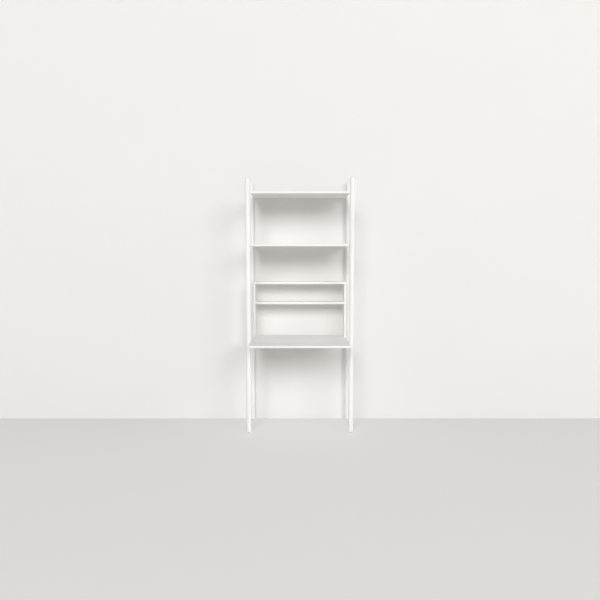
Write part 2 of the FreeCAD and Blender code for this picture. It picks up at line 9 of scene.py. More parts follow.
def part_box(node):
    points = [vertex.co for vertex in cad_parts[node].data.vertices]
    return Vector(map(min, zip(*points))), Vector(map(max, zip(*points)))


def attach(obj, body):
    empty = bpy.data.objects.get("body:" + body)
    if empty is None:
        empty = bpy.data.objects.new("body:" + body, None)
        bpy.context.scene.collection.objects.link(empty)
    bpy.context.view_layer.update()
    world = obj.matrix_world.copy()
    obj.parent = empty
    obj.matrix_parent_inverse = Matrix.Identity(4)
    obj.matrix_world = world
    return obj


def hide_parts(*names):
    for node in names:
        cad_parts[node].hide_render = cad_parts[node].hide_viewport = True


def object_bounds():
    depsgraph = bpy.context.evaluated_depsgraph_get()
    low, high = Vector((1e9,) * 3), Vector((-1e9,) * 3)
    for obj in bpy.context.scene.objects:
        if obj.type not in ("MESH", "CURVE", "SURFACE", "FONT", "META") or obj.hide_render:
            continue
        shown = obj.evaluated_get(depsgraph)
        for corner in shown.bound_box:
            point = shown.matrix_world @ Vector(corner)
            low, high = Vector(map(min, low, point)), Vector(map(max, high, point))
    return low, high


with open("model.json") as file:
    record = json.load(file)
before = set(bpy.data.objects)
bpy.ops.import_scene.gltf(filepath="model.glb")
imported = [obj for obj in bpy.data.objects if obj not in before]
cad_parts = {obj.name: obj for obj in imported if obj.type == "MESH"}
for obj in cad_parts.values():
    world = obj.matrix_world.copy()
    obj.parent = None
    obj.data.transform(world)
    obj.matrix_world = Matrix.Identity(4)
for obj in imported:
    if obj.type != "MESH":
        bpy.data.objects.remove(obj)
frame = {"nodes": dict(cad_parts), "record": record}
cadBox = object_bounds()
cadNodes = frame["nodes"]
print("frame:", len(cadNodes), "nodes")


# Small helpers for shader trees

nodeSpacing = 240
softSpan = (0.25, 0.75)       # the part of a noise's range that is spread from 0 to 1
firmSpan = (0.3, 0.7)
noiseMiddle = 0.5
floatSocket, vectorSocket = "NodeSocketFloat", "NodeSocketVector"


def feed(tree, socket, value):
    if isinstance(value, bpy.types.NodeSocket):
        tree.links.new(value, socket)
    else:
        socket.default_value = value


def addNode(tree, kind, settings=None, inputs=None):
    node = tree.nodes.new(kind)
    node.location = (nodeSpacing * len(tree.nodes), 0)
    for name, value in (settings or {}).items():
        setattr(node, name, value)
    for key, value in (inputs or {}).items():
        feed(tree, node.inputs[key], value)
    return node


def mathOf(tree, operation, first, second=0.0, clamp=False):
    settings = {"operation": operation, "use_clamp": clamp}
    return addNode(tree, "ShaderNodeMath", settings, {0: first, 1: second}).outputs[0]


def vectorOf(tree, operation, first, second=(0.0, 0.0, 0.0)):
    return addNode(tree, "ShaderNodeVectorMath", {"operation": operation}, {0: first, 1: second}).outputs[0]


def lengthOf(tree, vector):
    return addNode(tree, "ShaderNodeVectorMath", {"operation": "LENGTH"}, {0: vector}).outputs["Value"]


def mixColour(tree, factor, first, second):
    mix = addNode(tree, "ShaderNodeMix", {"data_type": "RGBA"}, {0: factor, 6: first, 7: second})
    return mix.outputs[2]


def mapRange(tree, value, low, high, toLow=0.0, toHigh=1.0, smooth=False):
    settings = {"interpolation_type": "SMOOTHSTEP" if smooth else "LINEAR"}
    inputs = {0: value, 1: low, 2: high, 3: toLow, 4: toHigh}
    return addNode(tree, "ShaderNodeMapRange", settings, inputs).outputs[0]


def noiseOf(tree, vector, scale, detail, roughness=0.5):
    inputs = {"Vector": vector, "Scale": scale, "Detail": detail, "Roughness": roughness}
    return addNode(tree, "ShaderNodeTexNoise", None, inputs).outputs["Fac"]


def placeOf(tree):
    return addNode(tree, "ShaderNodeTexCoord").outputs["Object"]


def bumpOf(tree, height, distance):
    return addNode(tree, "ShaderNodeBump", None, {"Height": height, "Distance": distance}).outputs[0]


def seenRays(tree):
    rays = addNode(tree, "ShaderNodeLightPath").outputs
    seen = mathOf(tree, "ADD", rays["Is Camera Ray"], rays["Is Glossy Ray"])
    return mathOf(tree, "ADD", seen, rays["Is Transmission Ray"], clamp=True)


def startGroup(name, inputs, outputs):
    group = bpy.data.node_groups.new(name, "ShaderNodeTree")
    for label, kind, value in inputs:
        socket = group.interface.new_socket(name=label, in_out="INPUT", socket_type=kind)
        socket.default_value = value
    for label in outputs:
        group.interface.new_socket(name=label, in_out="OUTPUT", socket_type=floatSocket)
    start = group.nodes.new("NodeGroupInput")
    end = group.nodes.new("NodeGroupOutput")
    return group, start.outputs, end.inputs


def useGroup(tree, group, inputs):
    node = tree.nodes.new("ShaderNodeGroup")
    node.node_tree = group
    for name, value in inputs.items():
        feed(tree, node.inputs[name], value)
    return node.outputs


# Sprayed lacquer: cloudy tone, the grain that shows through, orange peel and a few dust nibs

lacquerPattern = {            # here and below a noise is given as scale, detail and roughness
    "cloud": (2.6, 3.0, 0.5),
    "grain": (1.0, 3.0, 0.6),
    "smear": (9.0, 4.0, 0.65),
    "peelDetail": 1.0,
    "peelShare": 0.5,
    "nibScale": 38.0,
    "nibRadius": 0.035,
    "grainGloss": 0.5,
}


def makeLacquerSkin():
    group, given, out = startGroup("lacquerSkin", [
        ("Seed", floatSocket, 0.0),
        ("Stretch", vectorSocket, (1.0, 1.0, 1.0)),   # grain lines to the metre along X, Y and Z
        ("Peel Size", floatSocket, 0.003),            # metres from crest to crest
        ("Grain", floatSocket, 0.3),
    ], ["Tone", "Gloss", "Height"])
    shifted = vectorOf(group, "ADD", placeOf(group), given["Seed"])
    cloud = noiseOf(group, shifted, *lacquerPattern["cloud"])
    stretched = vectorOf(group, "MULTIPLY", shifted, given["Stretch"])
    grain = noiseOf(group, stretched, *lacquerPattern["grain"])
    streak = mathOf(group, "MULTIPLY", mathOf(group, "SUBTRACT", grain, noiseMiddle), given["Grain"])
    smear = noiseOf(group, shifted, *lacquerPattern["smear"])
    glossStreak = mathOf(group, "MULTIPLY", streak, lacquerPattern["grainGloss"])
    peelScale = mathOf(group, "DIVIDE", 1.0, given["Peel Size"])
    peel = noiseOf(group, shifted, peelScale, lacquerPattern["peelDetail"])
    cells = {"Vector": shifted, "Scale": lacquerPattern["nibScale"]}
    fromNib = addNode(group, "ShaderNodeTexVoronoi", None, cells).outputs["Distance"]
    nib = mapRange(group, fromNib, 0.0, lacquerPattern["nibRadius"], 1.0, 0.0, smooth=True)
    height = mathOf(group, "ADD", mathOf(group, "MULTIPLY", peel, lacquerPattern["peelShare"]), streak)
    feed(group, out["Tone"], mathOf(group, "ADD", cloud, streak))
    feed(group, out["Gloss"], mathOf(group, "ADD", smear, glossStreak))
    feed(group, out["Height"], mathOf(group, "ADD", height, nib))
    return group


# Thin lacquer along the edges of a board, from the board's own box

edgePattern = {
    "patch": (45.0, 3.0, 0.5),
    "patchSpan": (0.35, 0.7),
    "crestShare": 0.45,       # the share of the width that can be rubbed through
    "spot": (130.0, 4.0, 0.65),
    "spotSpan": (0.56, 0.66),
    "run": (16.0, 2.0, 0.5),
    "runSpan": (0.48, 0.62),
}


def makeEdgeMask():
    group, given, out = startGroup("edgeMask", [
        ("Size", vectorSocket, (1.0, 1.0, 1.0)),      # the piece's own size in metres
        ("Width", floatSocket, 0.004),
        ("Breakup", floatSocket, 0.6),
    ], ["Mask", "Rubbed"])
    coords = addNode(group, "ShaderNodeTexCoord").outputs
    place, halfway = coords["Object"], (0.5, 0.5, 0.5)
    offset = vectorOf(group, "ABSOLUTE", vectorOf(group, "SUBTRACT", coords["Generated"], halfway))
    inward = vectorOf(group, "MULTIPLY", vectorOf(group, "SUBTRACT", halfway, offset), given["Size"])
    depth = addNode(group, "ShaderNodeSeparateXYZ", None, {0: inward}).outputs
    # The middle one of the three distances is the way to the nearest edge
    lowXY = mathOf(group, "MINIMUM", depth[0], depth[1])
    highXY = mathOf(group, "MAXIMUM", depth[0], depth[1])
    toEdge = mathOf(group, "MAXIMUM", lowXY, mathOf(group, "MINIMUM", highXY, depth[2]))
    band = mapRange(group, toEdge, 0.0, given["Width"], 1.0, 0.0, smooth=True)
    patchy = mapRange(group, noiseOf(group, place, *edgePattern["patch"]), *edgePattern["patchSpan"])
    kept = mathOf(group, "SUBTRACT", 1.0, mathOf(group, "MULTIPLY", patchy, given["Breakup"]))
    crestWidth = mathOf(group, "MULTIPLY", given["Width"], edgePattern["crestShare"])
    crest = mapRange(group, toEdge, 0.0, crestWidth, 1.0, 0.0, smooth=True)
    spots = mapRange(group, noiseOf(group, place, *edgePattern["spot"]), *edgePattern["spotSpan"])
    runs = mapRange(group, noiseOf(group, place, *edgePattern["run"]), *edgePattern["runSpan"])
    feed(group, out["Mask"], mathOf(group, "MULTIPLY", band, kept))
    feed(group, out["Rubbed"], mathOf(group, "MULTIPLY", crest, mathOf(group, "MULTIPLY", spots, runs)))
    return group


# Dust together with painted shade where two pieces meet: ambient occlusion darkens the colour in corners and
# seams

cornerPattern = {"samples": 6, "patch": (60.0, 3.0, 0.5), "thinnest": 0.4}


def makeCornerDustAndShadeMask():
    group, given, out = startGroup("cornerDustAndShadeMask", [("Reach", floatSocket, 0.012)], ["Mask"])
    openness = addNode(group, "ShaderNodeAmbientOcclusion", {"samples": cornerPattern["samples"]},
                       {"Distance": given["Reach"]}).outputs["AO"]
    # The occluded share is painted shade, broken into patches like dust
    shut = mathOf(group, "SUBTRACT", 1.0, openness)
    patches = noiseOf(group, placeOf(group), *cornerPattern["patch"])
    patchy = mapRange(group, patches, *firmSpan, cornerPattern["thinnest"], 1.0)
    feed(group, out["Mask"], mathOf(group, "MULTIPLY", shut, patchy))
    return group


# Fine scratches and wiped smears on a surface that is worked on

usePattern = {
    "scratches": [            # turn about Z in radians, and how far the lines are drawn out
        (0.5, (9.0, 420.0, 30.0)),
        (1.9, (11.0, 380.0, 30.0)),
        (2.7, (14.0, 460.0, 30.0)),
    ],
    "line": (1.0, 1.0, 0.5),
    "lineSpan": (0.68, 0.76),
    "wipeStretch": (3.0, 9.0, 3.0),
    "wipe": (1.4, 5.0, 0.6),
}


def makeUseMarks():
    group, given, out = startGroup("useMarks", [("Scratches", floatSocket, 0.5)], ["Marks", "Wiped"])
    place = placeOf(group)
    lines = None
    for turn, stretch in usePattern["scratches"]:
        spun = addNode(group, "ShaderNodeVectorRotate", {"rotation_type": "Z_AXIS"},
                       {"Vector": place, "Angle": turn}).outputs[0]
        drawn = noiseOf(group, vectorOf(group, "MULTIPLY", spun, stretch), *usePattern["line"])
        line = mapRange(group, drawn, *usePattern["lineSpan"])
        lines = line if lines is None else mathOf(group, "MAXIMUM", lines, line)
    swept = vectorOf(group, "MULTIPLY", place, usePattern["wipeStretch"])
    feed(group, out["Marks"], mathOf(group, "MULTIPLY", lines, given["Scratches"]))
    feed(group, out["Wiped"], noiseOf(group, swept, *usePattern["wipe"]))
    return group


# Drawn or turned metal: hair lines along one way and a mottled plating

metalPattern = {"line": (1.0, 2.0, 0.5), "mottleDetail": 3.0, "mottleRoughness": 0.6}


def makeMetalSkin():
    group, given, out = startGroup("metalSkin", [
        ("Stretch", vectorSocket, (40.0, 2500.0, 2500.0)),
        ("Mottle Size", floatSocket, 0.004),
    ], ["Mottle", "Lines"])
    place = placeOf(group)
    drawn = vectorOf(group, "MULTIPLY", place, given["Stretch"])
    scale = mathOf(group, "DIVIDE", 1.0, given["Mottle Size"])
    mottle = noiseOf(group, place, scale, metalPattern["mottleDetail"], metalPattern["mottleRoughness"])
    feed(group, out["Lines"], noiseOf(group, drawn, *metalPattern["line"]))
    feed(group, out["Mottle"], mottle)
    return group


# Spark-eroded mould texture of plastics and the pebbling of powder coat

pebblePattern = {"pebbleDetail": 2.0, "pebbleRoughness": 0.55, "scuff": (220.0, 4.0, 0.7),
                 "scuffSpan": (0.55, 0.75)}


def makePebbleSkin():
    group, given, out = startGroup("pebbleSkin", [
        ("Pebble Size", floatSocket, 0.0006),
        ("Scuffs", floatSocket, 0.2),
    ], ["Tone", "Height"])
    place = placeOf(group)
    scale = mathOf(group, "DIVIDE", 1.0, given["Pebble Size"])
    pebble = noiseOf(group, place, scale, pebblePattern["pebbleDetail"], pebblePattern["pebbleRoughness"])
    scuff = mapRange(group, noiseOf(group, place, *pebblePattern["scuff"]), *pebblePattern["scuffSpan"])
    feed(group, out["Height"], pebble)
    feed(group, out["Tone"], mathOf(group, "ADD", pebble, mathOf(group, "MULTIPLY", scuff, given["Scuffs"])))
    return group


lacquerSkin, edgeMask, cornerDustAndShadeMask = makeLacquerSkin(), makeEdgeMask(), makeCornerDustAndShadeMask()
useMarks, metalSkin, pebbleSkin = makeUseMarks(), makeMetalSkin(), makePebbleSkin()
print("shader groups:", len(bpy.data.node_groups))


def startMaterial(name):
    material = bpy.data.materials.new(name)
    material.use_nodes = True
    tree = material.node_tree
    return material, tree, tree.nodes["Principled BSDF"].inputs


def shade(colour, factor=1.0):
    return (*(channel * factor for channel in colour), 1.0)


# White lacquer

whiteLacquer = {
    "colour": (0.895, 0.888, 0.868),
    "edgeColour": (0.825, 0.805, 0.765),
    "rubbedColour": (0.66, 0.58, 0.47),
    # the corner colour paints dust together with painted shade into corners and seams
    "dustColour": (0.62, 0.60, 0.56),
    "toneSpread": 0.05,
    "roughness": 0.57,
    "roughnessSpread": 0.18,
    "scratchGloss": 0.12,     # what marks of use add to the roughness
    "wipeGloss": 0.05,
    "ior": 1.5,
    "specular": 0.32,
    "peelSize": 0.0036,
    "bump": 0.00005,          # metres
    "scratchDepth": 0.35,     # share of the bump
    "edgeWidth": 0.0045,
    "edgeShow": 0.5,
    "rubbedShow": 0.55,
    "dustShow": 0.35,
    "dustAndShadeReach": 0.010,
    "acrossGrain": 520.0,
    "alongGrain": 7.0,
}


def makeLacquer(name, grainAxis, seed, size, grain, marks=0.0):
    look = whiteLacquer
    material, tree, shader = startMaterial(name)
    stretch = [look["acrossGrain"]] * 3
    stretch["XYZ".index(grainAxis)] = look["alongGrain"]
    skin = useGroup(tree, lacquerSkin, {"Seed": seed, "Stretch": stretch, "Grain": grain,
                                        "Peel Size": look["peelSize"]})
    edge = useGroup(tree, edgeMask, {"Size": size, "Width": look["edgeWidth"]})
    # Corners and seams get dust together with painted shade from the occlusion mask
    dust = useGroup(tree, cornerDustAndShadeMask, {"Reach": look["dustAndShadeReach"]})["Mask"]
    spread, tone = look["toneSpread"], mapRange(tree, skin["Tone"], *softSpan)
    colour = mixColour(tree, tone, shade(look["colour"], 1 - spread), shade(look["colour"], 1 + spread))
    for mask, stem in ((edge["Mask"], "edge"), (edge["Rubbed"], "rubbed"), (dust, "dust")):
        shown = mathOf(tree, "MULTIPLY", mask, look[f"{stem}Show"])
        colour = mixColour(tree, shown, colour, shade(look[f"{stem}Colour"]))
    half = look["roughnessSpread"] / 2
    roughness = mapRange(tree, skin["Gloss"], *softSpan, look["roughness"] - half, look["roughness"] + half)
    height = skin["Height"]
    if marks:
        use = useGroup(tree, useMarks, {"Scratches": marks})
        scratched = mathOf(tree, "MULTIPLY", use["Marks"], look["scratchGloss"])
        wiped = mapRange(tree, use["Wiped"], *firmSpan, -look["wipeGloss"], look["wipeGloss"])
        roughness = mathOf(tree, "ADD", mathOf(tree, "ADD", roughness, scratched), wiped)
        cut = mathOf(tree, "MULTIPLY", use["Marks"], look["scratchDepth"])
        height = mathOf(tree, "SUBTRACT", height, cut)
    feed(tree, shader["Base Color"], colour)
    feed(tree, shader["Roughness"], roughness)
    feed(tree, shader["Normal"], bumpOf(tree, height, look["bump"]))
    shader["IOR"].default_value = look["ior"]
    shader["Specular IOR Level"].default_value = look["specular"]
    return material


# Hardware finishes

zincSteel = {"colour": (0.60, 0.61, 0.62), "dark": (0.46, 0.47, 0.49), "roughness": 0.34,
             "stretch": (30.0, 2600.0, 2600.0), "mottle": 0.0035}
castZinc = {"colour": (0.50, 0.50, 0.50), "dark": (0.38, 0.38, 0.39), "roughness": 0.52,
            "stretch": (900.0, 900.0, 900.0), "mottle": 0.0018}
metalWear = {"smoother": 0.08, "rougher": 0.10, "lineSpan": (0.2, 0.8), "lineDepth": 0.000008}


def makeMetal(name, finish):
    material, tree, shader = startMaterial(name)
    skin = useGroup(tree, metalSkin, {"Stretch": finish["stretch"], "Mottle Size": finish["mottle"]})
    mottle = mapRange(tree, skin["Mottle"], *firmSpan)
    least, most = finish["roughness"] - metalWear["smoother"], finish["roughness"] + metalWear["rougher"]
    feed(tree, shader["Base Color"], mixColour(tree, mottle, shade(finish["dark"]), shade(finish["colour"])))
    feed(tree, shader["Roughness"], mapRange(tree, skin["Lines"], *metalWear["lineSpan"], least, most))
    feed(tree, shader["Normal"], bumpOf(tree, skin["Lines"], metalWear["lineDepth"]))
    shader["Metallic"].default_value = 1.0
    return material


bracketPaint = {"colour": (0.84, 0.835, 0.815), "worn": (0.74, 0.735, 0.715), "roughness": 0.48,
                "pebble": 0.0011, "bump": 0.00003, "scuffs": 0.15}
capPlastic = {"colour": (0.86, 0.855, 0.835), "worn": (0.79, 0.785, 0.765), "roughness": 0.42,
              "pebble": 0.0005, "bump": 0.00001, "scuffs": 0.1}
spacerNylon = {"colour": (0.78, 0.765, 0.725), "worn": (0.70, 0.68, 0.63), "roughness": 0.50,
               "pebble": 0.0006, "bump": 0.00001, "scuffs": 0.1}
glidePlastic = {"colour": (0.50, 0.495, 0.48), "worn": (0.36, 0.355, 0.345), "roughness": 0.55,
                "pebble": 0.0007, "bump": 0.00002, "scuffs": 0.5}
# the dust keys paint dust together with painted shade into corners
pebbledWear = {"toneSpan": (0.3, 0.9), "smoother": 0.05, "rougher": 0.12, "dustAndShadeReach": 0.004, "dustShow": 0.3,
               "dustAndShadeFactor": 0.7}


def makePebbled(name, finish):
    material, tree, shader = startMaterial(name)
    skin = useGroup(tree, pebbleSkin, {"Pebble Size": finish["pebble"], "Scuffs": finish["scuffs"]})
    # Corners and seams get dust together with painted shade from the occlusion mask
    dust = useGroup(tree, cornerDustAndShadeMask, {"Reach": pebbledWear["dustAndShadeReach"]})["Mask"]
    tone = mapRange(tree, skin["Tone"], *pebbledWear["toneSpan"])
    body = mixColour(tree, tone, shade(finish["colour"]), shade(finish["worn"]))
    dustAndShadeShown = mathOf(tree, "MULTIPLY", dust, pebbledWear["dustShow"])
    dustAndShaded = mixColour(tree, dustAndShadeShown, body, shade(finish["worn"], pebbledWear["dustAndShadeFactor"]))
    least, most = finish["roughness"] - pebbledWear["smoother"], finish["roughness"] + pebbledWear["rougher"]
    feed(tree, shader["Base Color"], dustAndShaded)
    feed(tree, shader["Roughness"], mapRange(tree, skin["Tone"], *pebbledWear["toneSpan"], least, most))
    feed(tree, shader["Normal"], bumpOf(tree, skin["Height"], finish["bump"]))
    return material


beechDowel = {"colour": (0.62, 0.44, 0.27), "fleck": (0.45, 0.29, 0.16), "fleckSpan": (0.52, 0.70),
              "fleckDepth": 0.00005, "roughness": 0.62, "roughnessSpread": 0.06, "mottle": 0.002,
              "stretch": (240.0, 900.0, 900.0)}


def makeBeech(name):
    material, tree, shader = startMaterial(name)
    skin = useGroup(tree, metalSkin, {"Stretch": beechDowel["stretch"], "Mottle Size": beechDowel["mottle"]})
    fleck = mapRange(tree, skin["Lines"], *beechDowel["fleckSpan"])
    least = beechDowel["roughness"] - beechDowel["roughnessSpread"]
    most = beechDowel["roughness"] + beechDowel["roughnessSpread"]
    colour = mixColour(tree, fleck, shade(beechDowel["colour"]), shade(beechDowel["fleck"]))
    feed(tree, shader["Base Color"], colour)
    feed(tree, shader["Roughness"], mapRange(tree, skin["Mottle"], *firmSpan, least, most))
    feed(tree, shader["Normal"], bumpOf(tree, skin["Lines"], beechDowel["fleckDepth"]))
    return material


# Every CAD node gets its finish

def sizeOf(node):
    low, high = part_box(node)
    return tuple(high - low)


def dress(node, material):
    cadNodes[node].data.materials.clear()
    cadNodes[node].data.materials.append(material)


corners = ["front_left", "front_right", "rear_left", "rear_right"]
postFinish = {"grain": 0.8, "seedStep": 3.1}
boardFinish = {"grain": 0.5, "seedStart": 20, "seedStep": 2.7}
boardGrain = {                # which way each board's grain runs
    "top_shelf": "X", "second_shelf": "X", "desktop": "X",
    "hutch_top": "X", "hutch_middle_shelf": "X", "hutch_left_side": "Z", "hutch_right_side": "Z",
}
workedOn = {                  # how much each board is marked by use
    "desktop": 1.0, "hutch_top": 0.4, "hutch_middle_shelf": 0.4, "top_shelf": 0.3, "second_shelf": 0.3,
}

for number, corner in enumerate(corners):
    node = f"{corner}_post"
    seed = postFinish["seedStep"] * number
    dress(node, makeLacquer(f"{corner}PostLacquer", "Z", seed, sizeOf(node), postFinish["grain"]))
for number, (node, axis) in enumerate(boardGrain.items()):
    seed = boardFinish["seedStart"] + boardFinish["seedStep"] * number
    marks = workedOn.get(node, 0.0)
    dress(node, makeLacquer(f"{node}_lacquer", axis, seed, sizeOf(node), boardFinish["grain"], marks))

slotFinish = {
    "zinc_steel": makeMetal("zincSteel", zincSteel),
    "cam_zinc": makeMetal("castZinc", castZinc),
    "bracket_paint": makePebbled("bracketPaint", bracketPaint),
    "cap_plastic": makePebbled("capPlastic", capPlastic),
    "spacer_nylon": makePebbled("spacerNylon", spacerNylon),
    "glide_plastic": makePebbled("glidePlastic", glidePlastic),
    "dowel_beech": makeBeech("beechDowel"),
}
for part in frame["record"]["subparts"]:
    if part["material_slot"] in slotFinish:
        dress(part["node"], slotFinish[part["material_slot"]])
print("finishes:", len(bpy.data.materials))


# Tools for the small fittings: each is made once at the origin, standing on +Z, and set out where its node is

fittingMesh = {
    "cadWeld": 0.000001,      # metres, to join the corners of a CAD mesh
    "weld": 0.000005,         # metres; shorter edges left by a cut or a bevel are closed
    "bevelAngle": 40.0,
    "smoothAngle": 34.0,
    "cutPast": 1.1,           # a cutter rises to this share of the piece's height
}


def solidBoxes(node):
    work = bmesh.new()
    work.from_mesh(cadNodes[node].data)
    bmesh.ops.remove_doubles(work, verts=work.verts, dist=fittingMesh["cadWeld"])
    waiting = set(work.verts)
    boxes = []
    while waiting:
        reached = [waiting.pop()]
        for vert in reached:              # the list grows while it is walked
            near = [edge.other_vert(vert) for edge in vert.link_edges]
            fresh = [other for other in near if other in waiting]
            waiting.difference_update(fresh)
            reached += fresh
        spans = [sorted(vert.co[axis] for vert in reached) for axis in range(3)]
        boxes.append((Vector(span[0] for span in spans), Vector(span[-1] for span in spans)))
    work.free()
    return sorted(boxes, key=lambda box: tuple(box[0]))


def middleOf(low, high):
    return [(least + most) / 2 for least, most in zip(low, high)]


def arc(centre, radius, start, end, steps):
    angles = [math.radians(start + (end - start) * step / steps) for step in range(steps + 1)]
    return [(centre[0] + radius * math.cos(angle), centre[1] + radius * math.sin(angle)) for angle in angles]


def turned(profile, sides):
    shape = bmesh.new()
    rings = []
    for radius, height in profile:        # a radius may also be a function of the angle
        ring = []
        for step in range(sides if callable(radius) or radius > 0 else 1):
            angle = 2 * math.pi * (step + 0.5) / sides     # half a step keeps corners off the cutters' planes
            reach = radius(angle) if callable(radius) else radius
            ring.append(shape.verts.new((reach * math.cos(angle), reach * math.sin(angle), height)))
        rings.append(ring)
    for lower, upper in zip(rings, rings[1:]):
        for step in range(sides):
            after = step + 1
            loop = [lower[step % len(lower)], lower[after % len(lower)],
                    upper[after % len(upper)], upper[step % len(upper)]]
            shape.faces.new(dict.fromkeys(loop))
    return shape


def drum(radius, low, high, sides=32):
    return turned([(0, low), (radius, low), (radius, high), (0, high)], sides)


def prism(outline, low, high, taper=1.0):
    shape = bmesh.new()
    floor = [shape.verts.new((x * taper, y * taper, low)) for x, y in outline]
    roof = [shape.verts.new((x, y, high)) for x, y in outline]
    shape.faces.new(floor)
    shape.faces.new(roof)
    for step in range(len(outline)):
        after = (step + 1) % len(outline)
        shape.faces.new((floor[step], floor[after], roof[after], roof[step]))
    return shape


def crossOutline(length, width):
    far, near = length / 2, width / 2
    return [(far, -near), (far, near), (near, near), (near, far), (-near, far), (-near, near),
            (-far, near), (-far, -near), (-near, -near), (-near, -far), (near, -far), (near, -near)]


def toObject(name, shape):
    bmesh.ops.recalc_face_normals(shape, faces=shape.faces)
    mesh = bpy.data.meshes.new(name)
    shape.to_mesh(mesh)
    shape.free()
    made = bpy.data.objects.new(name, mesh)
    bpy.context.scene.collection.objects.link(made)
    return made


def settle(piece):
    graph = bpy.context.evaluated_depsgraph_get()
    finished = bpy.data.meshes.new_from_object(piece.evaluated_get(graph))
    piece.modifiers.clear()
    work = bmesh.new()
    work.from_mesh(finished)
    bmesh.ops.remove_doubles(work, verts=work.verts, dist=fittingMesh["weld"])
    bmesh.ops.dissolve_degenerate(work, edges=work.edges, dist=fittingMesh["weld"])
    work.to_mesh(finished)
    work.free()
    piece.data = finished


def carve(piece, *shapes):
    cutters = [toObject("cutter", shape) for shape in shapes]
    for cutter in cutters:
        cut = piece.modifiers.new("cut", "BOOLEAN")
        cut.operation = "DIFFERENCE"
        cut.solver = "EXACT"
        cut.object = cutter
    settle(piece)
    for cutter in cutters:
        bpy.data.objects.remove(cutter)


def soften(piece, width, segments=2):
    bevel = piece.modifiers.new("soften", "BEVEL")
    bevel.width = width
    bevel.segments = segments
    bevel.limit_method = "ANGLE"
    bevel.angle_limit = math.radians(fittingMesh["bevelAngle"])
    settle(piece)


def laidAlong(shape, axis):
    shape.transform(Matrix.Rotation(math.radians(90), 4, "Y" if axis == "X" else "X"))
    return shape


def standing(origin, out, up):
    across = Vector(up).cross(Vector(out))
    return Matrix.Translation(origin) @ Matrix((across, up, out)).transposed().to_4x4()


def setOut(name, master, places, node, slotName):
    whole = bmesh.new()
    for place in places:
        one = master.data.copy()
        one.transform(place)
        whole.from_mesh(one)
        bpy.data.meshes.remove(one)
    bpy.data.objects.remove(master)
    piece = toObject(name, whole)
    piece.data.materials.append(slotFinish[slotName])
    piece.data.shade_smooth()
    piece.data.set_sharp_from_angle(angle=math.radians(fittingMesh["smoothAngle"]))
    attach(piece, "root")
    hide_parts(node)


# Cover caps over the bolt heads: a press-in plug with a rounded rim and a faintly domed face

coverCap = {"dome": 0.0006, "rimRound": 0.0005, "footChamfer": 0.0004,
            "rimSteps": 5, "domeSteps": 8, "sides": 64}


def makeCoverCap(radius, depth):
    rim, dome, foot = coverCap["rimRound"], coverCap["dome"], coverCap["footChamfer"]
    flat = radius - rim
    swell = (flat ** 2 + dome ** 2) / (2 * dome)
    lean = math.degrees(math.asin(flat / swell))
    profile = [(0, 0), (radius - foot, 0), (radius, foot)]
    profile += arc((flat, depth - dome - rim), rim, 0, 90, coverCap["rimSteps"])
    profile += arc((0, depth - swell), swell, 90 - lean, 90, coverCap["domeSteps"])[1:-1]
    return toObject("coverCap", turned(profile + [(0, depth)], coverCap["sides"]))


boards = ["top_shelf", "second_shelf", "desktop"]
for board in boards:
    node = f"{board}_bolt_caps"
    boxes = solidBoxes(node)
    places = []
    for low, high in boxes:
        side = math.copysign(1, low.x)
        inner = min(low.x, high.x, key=abs)
        places.append(standing((inner, *middleOf(low, high)[1:]), (side, 0, 0), (0, 0, 1)))
    low, high = boxes[0]
    cap = makeCoverCap((high.z - low.z) / 2, high.x - low.x)
    setOut(f"{board}_cover_caps", cap, places, node, "cap_plastic")


# Barrel nuts: slotted at the end that shows under the board, and threaded across

barrelNut = {"chamfer": 0.0007, "slotWidth": 0.0016, "slotDepth": 0.0018, "threadRadius": 0.00305,
             "softness": 0.0002, "sides": 64}


def makeBarrelNut(radius, length):
    chamfer = barrelNut["chamfer"]
    nut = toObject("barrelNut", turned([
        (0, 0), (radius - chamfer, 0), (radius, chamfer),
        (radius, length - chamfer), (radius - chamfer, length), (0, length),
    ], barrelNut["sides"]))
    thread = laidAlong(drum(barrelNut["threadRadius"], -2 * radius, 2 * radius), "X")
    thread.transform(Matrix.Translation((0, 0, length / 2)))
    far, near = 2 * radius, barrelNut["slotWidth"] / 2
    outline = [(-far, -near), (far, -near), (far, near), (-far, near)]
    carve(nut, thread, prism(outline, length - barrelNut["slotDepth"], length * fittingMesh["cutPast"]))
    soften(nut, barrelNut["softness"])
    return nut


for board in boards:
    node = f"{board}_barrel_nuts"
    boxes = solidBoxes(node)
    places = [standing((*middleOf(low, high)[:2], high.z), (0, 0, -1), (0, 1, 0)) for low, high in boxes]
    low, high = boxes[0]
    nut = makeBarrelNut((high.x - low.x) / 2, high.z - low.z)
    setOut(f"{board}_slotted_nuts", nut, places, node, "zinc_steel")


# Cam locks of the hutch: a cast drum with a raised rim, crossed slots, an arrow and a mouth for the bolt

camLock = {"chamfer": 0.0005, "rimWidth": 0.0008, "dish": 0.0004, "softness": 0.00015, "sides": 64,
           "slotLength": 0.009, "slotWidth": 0.0016, "slotDepth": 0.002, "slotTaper": 0.94,
           "arrowAt": 0.0049, "arrowLength": 0.0012, "arrowWidth": 0.0020, "arrowDepth": 0.0004,
           "mouthRadius": 0.0035, "mouthHeight": 0.004, "mouthPast": 0.0017}


